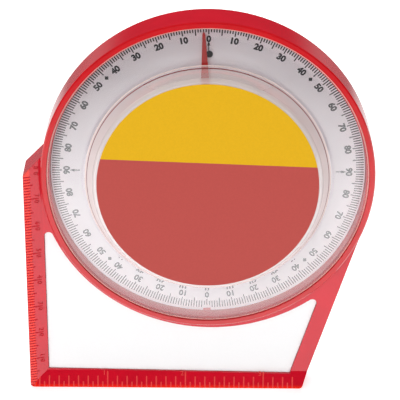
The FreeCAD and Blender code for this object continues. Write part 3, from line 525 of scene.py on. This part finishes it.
def makeLens():
    material, tree = newMaterial("clearAcrylicMoulded")
    coordinates = addNode(tree, "ShaderNodeTexCoord")
    axes = addNode(tree, "ShaderNodeSeparateXYZ", {0: coordinates.outputs["Object"]})
    level = addNode(tree, "ShaderNodeCombineXYZ", {
        0: axes.outputs["X"], 2: axes.outputs["Z"]})
    radius = addNode(tree, "ShaderNodeVectorMath", {
        0: level.outputs[0], 1: dialCentre}, operation="DISTANCE")
    clear = addNode(tree, "ShaderNodeBsdfPrincipled", {
        "Base Color": linear(lens["colour"]), "Roughness": 0.0,
        "IOR": lens["ior"], "Transmission Weight": 1.0})
    through = addNode(tree, "ShaderNodeBsdfTransparent", {"Color": linear(lens["colour"])})
    mirror = addNode(tree, "ShaderNodeBsdfGlossy", {
        "Color": linear("FFFFFF"), "Roughness": lens["mirrorRoughness"]})

    # only the outer side mirrors, so the sheet has no reflections inside it
    side = addNode(tree, "ShaderNodeNewGeometry")
    outside = addNode(tree, "ShaderNodeMath", {
        0: 1.0, 1: side.outputs["Backfacing"]}, operation="SUBTRACT")
    forward = addNode(tree, "ShaderNodeMath", {
        0: axes.outputs["Y"], 1: lens["frontY"] * mm}, operation="LESS_THAN")
    front = addNode(tree, "ShaderNodeMath", {
        0: forward.outputs[0], 1: outside.outputs[0]}, operation="MULTIPLY")

    # low on the lens the cup's wall shows through its edge, and isn't bent
    lowStart, lowFull = lens["lowHeights"]
    lowDown = addNode(tree, "ShaderNodeMapRange", {
        "Value": axes.outputs["Z"], "From Min": lowStart * mm, "From Max": lowFull * mm})
    bentRadius = addNode(tree, "ShaderNodeMapRange", {
        "Value": lowDown.outputs[0], "To Min": lens["bentRadius"] * mm,
        "To Max": lens["bentRadiusLow"] * mm})
    pastBoss = addNode(tree, "ShaderNodeMath", {
        0: radius.outputs["Value"], 1: lens["flangeRadius"] * mm}, operation="GREATER_THAN")
    inEdge = addNode(tree, "ShaderNodeMath", {
        0: radius.outputs["Value"], 1: bentRadius.outputs[0]}, operation="LESS_THAN")
    flange = addNode(tree, "ShaderNodeMath", {
        0: pastBoss.outputs[0], 1: inEdge.outputs[0]}, operation="MULTIPLY")
    bulk = addNode(tree, "ShaderNodeMixShader", {
        0: flange.outputs[0], 1: through.outputs[0], 2: clear.outputs[0]})

    # mirrors by its angle, and nowhere less than the sheen
    grazing = addNode(tree, "ShaderNodeFresnel", {"IOR": lens["ior"]})
    edgeSheen = addNode(tree, "ShaderNodeMapRange", {
        "Value": lowDown.outputs[0], "To Min": lens["sheenAtEdge"],
        "To Max": lens["sheenAtFoot"]})
    sheen = addNode(tree, "ShaderNodeMapRange", {
        "Value": radius.outputs["Value"], "From Min": lens["sheenRadii"][0] * mm,
        "From Max": lens["sheenRadii"][1] * mm, "To Min": lens["sheen"],
        "To Max": edgeSheen.outputs[0]})
    stronger = addNode(tree, "ShaderNodeMath", {
        0: grazing.outputs[0], 1: sheen.outputs[0]}, operation="MAXIMUM")
    gloss = addNode(tree, "ShaderNodeMath", {
        0: stronger.outputs[0], 1: outside.outputs[0]}, operation="MULTIPLY")
    surface = addNode(tree, "ShaderNodeMixShader", {
        0: gloss.outputs[0], 1: bulk.outputs[0], 2: mirror.outputs[0]})

    topHeight, lowHeight = lens["paintedReflectionHeights"]
    for inner, outer, colour, atTop, atFoot in lens["paintedReflections"]:
        pastInner = addNode(tree, "ShaderNodeMath", {
            0: radius.outputs["Value"], 1: inner * mm}, operation="GREATER_THAN")
        inOuter = addNode(tree, "ShaderNodeMath", {
            0: radius.outputs["Value"], 1: outer * mm}, operation="LESS_THAN")
        band = addNode(tree, "ShaderNodeMath", {
            0: pastInner.outputs[0], 1: inOuter.outputs[0]}, operation="MULTIPLY")
        frontBand = addNode(tree, "ShaderNodeMath", {
            0: band.outputs[0], 1: front.outputs[0]}, operation="MULTIPLY")
        strength = addNode(tree, "ShaderNodeMapRange", {
            "Value": axes.outputs["Z"], "From Min": topHeight * mm,
            "From Max": lowHeight * mm, "To Min": atTop, "To Max": atFoot})
        share = addNode(tree, "ShaderNodeMath", {
            0: frontBand.outputs[0], 1: strength.outputs[0]}, operation="MULTIPLY")
        # each band lays a painted reflection as a matt colour on the lens's front
        paintedReflection = addNode(tree, "ShaderNodeBsdfDiffuse", {"Color": linear(colour)})
        surface = addNode(tree, "ShaderNodeMixShader", {
            0: share.outputs[0], 1: surface.outputs[0], 2: paintedReflection.outputs[0]})

    # the lamps' light passes straight through, as it does through a thin clear sheet
    path = addNode(tree, "ShaderNodeLightPath")
    lit = addNode(tree, "ShaderNodeMixShader", {
        0: path.outputs["Is Shadow Ray"], 1: surface.outputs[0], 2: through.outputs[0]})
    finishMaterial(tree, lit.outputs[0])
    return material


clearAcrylic = makeLens()

# hardware, by its finish: colour, metallic, roughness, grain in mm, stretch along X
hardware = {
    # ground steel: bright and cool
    "groundSteelAxle": (("pivot_axle",), "C2C3C6", 1.0, 0.22, 0.2, 1.0),
    # tempered spring steel: darker, dull
    "springSteelClip": (("retaining_clip",), "9FA1A6", 1.0, 0.34, 0.3, 1.0),
    # turned brass: warm yellow, bright
    "turnedBrassBush": (("hub_bush",), "D2A650", 1.0, 0.25, 0.2, 1.0),
    # zinc plate: pale, faintly cloudy
    "zincPlatedWasher": (("washer_rear", "washer_front"), "BDBCB4", 1.0, 0.36, 0.4, 1.0),
    "zincPlatedScrew": (("cover_screws",), "B9B9B3", 1.0, 0.30, 0.3, 1.0),
    "zincPlatedRivet": (("weight_rivets",), "B9B9B3", 1.0, 0.34, 0.3, 1.0),
    # zinc as die cast: grey and matt, with a coarse mottle
    "dieCastZincWeight": (("counterweight",), "8C8D90", 1.0, 0.48, 0.7, 1.0),
    # cold rolled steel: satin, with lines along the strip
    "coldRolledSteelStrip": (("pole_strip_rear", "pole_strip_front"), "AEB0B3", 1.0, 0.33,
                             0.25, 12.0),
    # fired ferrite: near black, dry, like fine ceramic
    "firedFerriteBlock": (("magnet_left", "magnet_middle", "magnet_right"), "2C2B2D", 0.0,
                          0.62, 0.35, 1.0),
}
hardwareSurface = {
    "tint": (0.86, 1.06),
    "roughness": (-0.05, 0.08),      # smoothest and roughest grain, against the mean
    "grainStrength": 0.2,
    "grainDepth": 0.04,      # mm
}


def makeHardware(name, colour, metallic, roughness, grainSize, stretch):
    material, tree = newMaterial(name)
    coordinates = addNode(tree, "ShaderNodeTexCoord")
    mapping = addNode(tree, "ShaderNodeMapping", {
        "Vector": coordinates.outputs["Object"], "Scale": (1 / stretch, 1.0, 1.0)})
    grain = addNode(tree, "ShaderNodeTexNoise", {
        "Vector": mapping.outputs[0], "Scale": 1 / (grainSize * mm), "Detail": 4.0})
    tint = addNode(tree, "ShaderNodeMapRange", {
        "Value": grain.outputs[0], "From Min": noiseLow, "From Max": noiseHigh,
        "To Min": hardwareSurface["tint"][0], "To Max": hardwareSurface["tint"][1]})
    shade = addNode(tree, "ShaderNodeHueSaturation", {
        "Color": linear(colour), "Value": tint.outputs[0]})
    rough = addNode(tree, "ShaderNodeMapRange", {
        "Value": grain.outputs[0], "From Min": noiseLow, "From Max": noiseHigh,
        "To Min": roughness + hardwareSurface["roughness"][0],
        "To Max": roughness + hardwareSurface["roughness"][1]})
    bump = addNode(tree, "ShaderNodeBump", {
        "Height": grain.outputs[0], "Strength": hardwareSurface["grainStrength"],
        "Distance": hardwareSurface["grainDepth"] * mm})
    shader = addNode(tree, "ShaderNodeBsdfPrincipled", {
        "Base Color": shade.outputs[0], "Metallic": metallic,
        "Roughness": rough.outputs[0], "Normal": bump.outputs[0]})
    finishMaterial(tree, shader.outputs[0])
    return material


for name, (carriers, *finish) in hardware.items():
    material = makeHardware(name, *finish)
    for node in carriers:
        dressNode(node, material)
print("plastics, lens, label and hardware finished")


def meshPiece(name, shape, material, body):
    # a new piece from a bmesh, riding on a body
    mesh = bpy.data.meshes.new(name)
    shape.to_mesh(mesh)
    shape.free()
    mesh.materials.append(material)
    piece = bpy.data.objects.new(name, mesh)
    bpy.context.collection.objects.link(piece)
    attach(piece, body)
    return piece


# lens, turned: radius and Y of each point of its half section, in mm
lensTurn = {
    "steps": 240,
    "profile": (
        # rounded edge of the raised disc that carries the label
        (34.2, -11.1), (34.5, -11.1), (34.85, -10.98), (35.15, -10.7), (35.45, -10.2),
        (35.65, -9.8),
        # the boss's wall leans back to a small fillet at its foot
        (36.5, -8.3), (37.35, -6.8), (37.6, -6.3), (37.95, -5.7), (38.4, -5.4), (38.8, -5.3),
        # flange, with its rounded rim
        (39.0, -5.3), (49.75, -5.3), (49.9, -5.3), (50.0, -5.2), (50.0, -3.8), (49.9, -3.7),
        (49.75, -3.7),
        # back of the flange, inside of the boss, back of the disc
        (38.6, -3.7), (38.3, -3.7), (37.4, -3.95), (36.7, -4.8), (34.5, -8.9), (34.2, -9.35),
        (33.6, -9.5), (33.3, -9.5)),
}


def makeLensPiece():
    shape = bmesh.new()
    steps = lensTurn["steps"]
    rings = []
    for radius, depth in lensTurn["profile"]:
        rings.append([shape.verts.new(Vector((
            place["dial"][0] + radius * math.sin(2 * math.pi * i / steps), depth,
            place["dial"][1] + radius * math.cos(2 * math.pi * i / steps))) * mm)
            for i in range(steps)])
    for first, second in zip(rings, rings[1:]):
        for i in range(steps):
            j = (i + 1) % steps
            shape.faces.new((first[i], first[j], second[j], second[i]))
    for ring in (rings[0], rings[-1]):
        shape.faces.new(ring)
    bmesh.ops.recalc_face_normals(shape, faces=shape.faces)
    for face in shape.faces:
        face.smooth = len(face.verts) == 4
    piece = meshPiece("clear_lens", shape, clearAcrylic, "housing")
    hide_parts("lens")


makeLensPiece()
print("lens turned")

# ruler ridges: moulded proud of the sloping faces, rounded like a bead. All in mm
ruler = {
    "ridgeWidth": 0.48,
    "ridgeHeight": 0.13,
    "ridgeRoot": 0.03,       # let into the face
    "ridgeStart": 0.05,      # from the outer edge
    "ridgeEnds": ((0.12, 0.55), (0.16, 0.5)),    # length and width share of each rounded end
    "ridgeSides": 6,
    "millimetre": 0.9589,    # photographed spacing of the column's marks
    "millimetreStart": 0.707,
    "millimetreCount": 78,
    "inchStart": -0.23,      # from the left edge
    "sixteenth": 25.4 / 16,
    "sixteenths": 54,
    "columnLengths": {1: 2.3, 5: 3.0, 10: 4.7},
    "barLengths": {1: 1.9, 2: 3.7, 16: 5.2},
    "digitHeight": 1.55,
    "digitRise": 0.12,
    "digitWeight": 0.02,
    "columnDigits": 4.0,     # inward from the edge to their middle
    "columnDigitSpread": 1.05,   # from a long mark to the digits beside it
    "barDigits": 4.6,
    "barDigitShift": -1.1,   # to the left of their inch mark
    "columnPaintedShadeRed": "C41A28",   # painted shade: the column's marks a deeper red than its glossy face
    "columnSpecular": 0.2,
    "barPaintedLightRed": "E83A34",      # painted light: the bar's marks a brighter red, as lit by the table
    "barSpecular": 0.5,
    "roughness": 0.45,
    "ior": 1.52,
    "grainSize": 0.4,
    "tint": (0.95, 1.03),
}


def makeRidgeRed(name, colour, specular):
    # the same ABS, worn satin on the proud marks, in a red with painted shade on the column
    # and painted light on the bar
    material, tree = newMaterial(name)
    coordinates = addNode(tree, "ShaderNodeTexCoord")
    grain = addNode(tree, "ShaderNodeTexNoise", {
        "Vector": coordinates.outputs["Object"], "Scale": 1 / (ruler["grainSize"] * mm),
        "Detail": 2.0})
    tint = addNode(tree, "ShaderNodeMapRange", {
        "Value": grain.outputs[0], "From Min": noiseLow, "From Max": noiseHigh,
        "To Min": ruler["tint"][0], "To Max": ruler["tint"][1]})
    shade = addNode(tree, "ShaderNodeHueSaturation", {
        "Color": linear(colour), "Value": tint.outputs[0]})
    shader = addNode(tree, "ShaderNodeBsdfPrincipled", {
        "Base Color": shade.outputs[0], "Roughness": ruler["roughness"],
        "IOR": ruler["ior"], "Specular IOR Level": specular})
    finishMaterial(tree, shader.outputs[0])
    return material


slant = math.hypot(place["faceWidth"], place["faceDrop"])
acrossFace = place["faceWidth"] / slant
intoFace = place["faceDrop"] / slant
faceLean = math.atan2(place["faceDrop"], place["faceWidth"])


def columnPoint(inward, up, rise):
    # a point of the column's sloping face, in metres
    x = place["leftX"] + inward + rise * intoFace
    y = place["frontY"] + inward * place["faceDrop"] / place["faceWidth"] - rise * acrossFace
    return Vector((x, y, up)) * mm


def barPoint(inward, along, rise):
    y = place["frontY"] + inward * place["faceDrop"] / place["faceWidth"] - rise * acrossFace
    return Vector((along, y, inward + rise * intoFace)) * mm


def addRidge(shape, point, end, middle):
    # a bead with rounded ends along a face's inward direction
    start = ruler["ridgeStart"]
    sides = ruler["ridgeSides"]
    (outerLength, outerShare), (innerLength, innerShare) = ruler["ridgeEnds"]
    rings = []
    for inward, scale in ((start, outerShare), (start + outerLength, 1.0),
                          (end - innerLength, 1.0), (end, innerShare)):
        ring = []
        for i in range(sides + 1):
            turn = math.pi * i / sides
            side = -math.cos(turn) * ruler["ridgeWidth"] / 2 * scale
            rise = math.sin(turn) * ruler["ridgeHeight"] * scale - ruler["ridgeRoot"]
            ring.append(shape.verts.new(point(inward, middle + side, rise)))
        rings.append(ring)
    for first, second in zip(rings, rings[1:]):
        for i in range(sides):
            shape.faces.new((first[i], first[i + 1], second[i + 1], second[i]))
        shape.faces.new((first[-1], first[0], second[0], second[-1]))
    shape.faces.new(rings[0][::-1])
    shape.faces.new(rings[-1])


def lengthFor(count, lengths):
    return lengths[max(step for step in lengths if count % step == 0)]


def addText(shape, words, height, thickness, matrix, weight):
    # digits of a given height, centred, put in place by a matrix, in mm
    curve = bpy.data.curves.new("digits", "FONT")
    curve.body = words
    curve.align_x = "CENTER"
    curve.align_y = "CENTER"
    curve.size = height / 0.72      # the font's digits are 0.72 of its size
    curve.extrude = thickness / 2
    curve.offset = weight
    curve.resolution_u = 3
    letter = bpy.data.objects.new("digits", curve)
    mesh = bpy.data.meshes.new_from_object(letter)
    mesh.transform(matrix)
    mesh.transform(Matrix.Scale(mm, 4))
    shape.from_mesh(mesh)
    bpy.data.objects.remove(letter)
    bpy.data.curves.remove(curve)
    bpy.data.meshes.remove(mesh)


def makeColumnRuler():
    shape = bmesh.new()
    for count in range(ruler["millimetreCount"] + 1):
        up = ruler["millimetreStart"] + count * ruler["millimetre"]
        # the mark at zero is a short one
        length = lengthFor(count or 1, ruler["columnLengths"])
        addRidge(shape, columnPoint, length, up)
    # digits stand on their side, their tops to the right, one each side of the long mark
    turn = (Matrix.Rotation(faceLean, 4, "Z") @ Matrix.Rotation(math.radians(90), 4, "X")
            @ Matrix.Rotation(math.radians(-90), 4, "Z"))
    spread = ruler["columnDigitSpread"]
    for tens in range(1, 9):
        up = ruler["millimetreStart"] + tens * 10 * ruler["millimetre"]
        for word, offset in ((str(tens), spread), ("0", -spread)):
            spot = columnPoint(ruler["columnDigits"], up + offset, ruler["digitRise"] / 2) / mm
            addText(shape, word, ruler["digitHeight"], ruler["digitRise"],
                    Matrix.Translation(spot) @ turn, ruler["digitWeight"])
    red = makeRidgeRed("redAbsColumnMarksPaintedShade", ruler["columnPaintedShadeRed"], ruler["columnSpecular"])
    meshPiece("column_ruler", shape, red, "housing")


def makeBarRuler():
    shape = bmesh.new()
    zero = place["leftX"] + ruler["inchStart"]
    for count in range(1, ruler["sixteenths"] + 1):
        addRidge(shape, barPoint, lengthFor(count, ruler["barLengths"]),
                 zero + count * ruler["sixteenth"])
    turn = Matrix.Rotation(math.radians(90) - faceLean, 4, "X")
    for inch in (1, 2, 3):
        along = zero + inch * 16 * ruler["sixteenth"] + ruler["barDigitShift"]
        spot = barPoint(ruler["barDigits"], along, ruler["digitRise"] / 2) / mm
        addText(shape, str(inch), ruler["digitHeight"], ruler["digitRise"],
                Matrix.Translation(spot) @ turn, ruler["digitWeight"])
    red = makeRidgeRed("redAbsBarMarksPaintedLight", ruler["barPaintedLightRed"], ruler["barSpecular"])
    meshPiece("bar_ruler", shape, red, "housing")


makeColumnRuler()
makeBarRuler()
print("rulers moulded")

# dial print: screen ink, near black, a film just proud of the plate. All in mm
dialPrint = {
    "ink": "151319",
    "roughness": (0.35, 0.5),
    "ior": 1.5,
    "grainSize": 0.3,
    "film": 0.03,
    "filmRoot": 0.005,       # the film's back, off the plate's face
    "raised": 0.6,           # the print sits a little above the cup's centre
    "tickOuter": 48.6,
    "tickInner": {1: 46.2, 5: 45.2, 10: 45.5},
    "tickWidth": 0.36,       # at the top; the heavier print there is painted shade, where less sheen lies over it
    "tickWidthLow": 0.29,
    "keyNotch": 0.9,         # the ticks beside the cup's key are shorter by this
    "numberRadius": 43.95,
    "numberHeight": 1.95,
    # digits drawn heavier at the top too, as painted shade
    "numberWeight": 0.15,
    "numberWeightLow": 0.09,
    "diamond": 0.75,         # centre to corner, at the 45s
    # arrows: degrees from the top, radius of the tail and of the point
    "arrows": ((90, 39.9, 43.2), (270, 39.9, 43.2), (0, 39.8, 43.5)),
    "arrowShaft": 0.14,      # half its width
    "arrowHead": 0.45,
    "arrowHeadLength": 1.6,
    "arrowLap": 0.2,         # shaft carried on into the head
}


def makeInk():
    material, tree = newMaterial("screenPrintedBlackInk")
    coordinates = addNode(tree, "ShaderNodeTexCoord")
    grain = addNode(tree, "ShaderNodeTexNoise", {
        "Vector": coordinates.outputs["Object"], "Scale": 1 / (dialPrint["grainSize"] * mm),
        "Detail": 2.0})
    rough = addNode(tree, "ShaderNodeMapRange", {
        "Value": grain.outputs[0], "From Min": noiseLow, "From Max": noiseHigh,
        "To Min": dialPrint["roughness"][0], "To Max": dialPrint["roughness"][1]})
    shader = addNode(tree, "ShaderNodeBsdfPrincipled", {
        "Base Color": linear(dialPrint["ink"]), "Roughness": rough.outputs[0],
        "IOR": dialPrint["ior"]})
    finishMaterial(tree, shader.outputs[0])
    return material


def dialSpot(radius, degrees, lift=0.0):
    # a point of the dial's face, degrees clockwise from the top, in mm
    turn = math.radians(degrees)
    return Vector((place["dial"][0] + radius * math.sin(turn),
                   place["dialFaceY"] - lift,
                   place["dial"][1] + dialPrint["raised"] + radius * math.cos(turn)))


def addPatch(shape, corners, degrees):
    # a printed patch with the ink's thickness, from (across, outward) corners in mm, drawn
    # at the top of the dial and turned to its place
    carry = (Matrix.Translation(dialSpot(0.0, 0.0) * mm)
             @ Matrix.Rotation(math.radians(degrees), 4, "Y"))
    lower, upper = [
        [shape.verts.new(carry @ (Vector((x, -height, z)) * mm)) for x, z in corners]
        for height in (dialPrint["filmRoot"], dialPrint["film"])]
    shape.faces.new(upper)
    shape.faces.new(lower[::-1])
    for i in range(len(corners)):
        j = (i + 1) % len(corners)
        shape.faces.new((lower[i], lower[j], upper[j], upper[i]))


def atHeight(degrees, top, foot):
    # a value that falls from the top of the dial to its foot
    return foot + (top - foot) * (1 + math.cos(math.radians(degrees))) / 2


def makeDialPrint():
    shape = bmesh.new()
    for degrees in range(360):
        half = atHeight(degrees, dialPrint["tickWidth"], dialPrint["tickWidthLow"]) / 2
        inner = lengthFor(degrees, dialPrint["tickInner"])
        outer = dialPrint["tickOuter"]
        if abs(degrees - 180) <= 1:
            outer -= dialPrint["keyNotch"]
        addPatch(shape, [(-half, inner), (half, inner), (half, outer), (-half, outer)],
                 degrees)
    middle = dialPrint["numberRadius"]
    size = dialPrint["diamond"]
    for degrees in (45, 135, 225, 315):
        addPatch(shape, [(0, middle - size), (size, middle), (0, middle + size),
                         (-size, middle)], degrees)
    # arrows under the two 90s and the top 0, pointing outward
    shaft = dialPrint["arrowShaft"]
    head = dialPrint["arrowHead"]
    for degrees, tail, point in dialPrint["arrows"]:
        headStart = point - dialPrint["arrowHeadLength"]
        shaftEnd = headStart + dialPrint["arrowLap"]
        addPatch(shape, [(-shaft, tail), (shaft, tail), (shaft, shaftEnd),
                         (-shaft, shaftEnd)], degrees)
        addPatch(shape, [(-head, headStart), (head, headStart), (0, point)], degrees)
    bmesh.ops.recalc_face_normals(shape, faces=shape.faces)
    for degrees in range(0, 360, 10):
        folded = degrees % 180
        number = folded if folded <= 90 else 180 - folded
        spot = dialSpot(dialPrint["numberRadius"], degrees, dialPrint["film"] / 2)
        turn = (Matrix.Rotation(math.radians(degrees), 4, "Y")
                @ Matrix.Rotation(math.radians(90), 4, "X"))
        addText(shape, str(number), dialPrint["numberHeight"], dialPrint["film"],
                Matrix.Translation(spot) @ turn,
                atHeight(degrees, dialPrint["numberWeight"], dialPrint["numberWeightLow"]))
    meshPiece("dial_print", shape, makeInk(), "housing")


makeDialPrint()
print("dial printed")
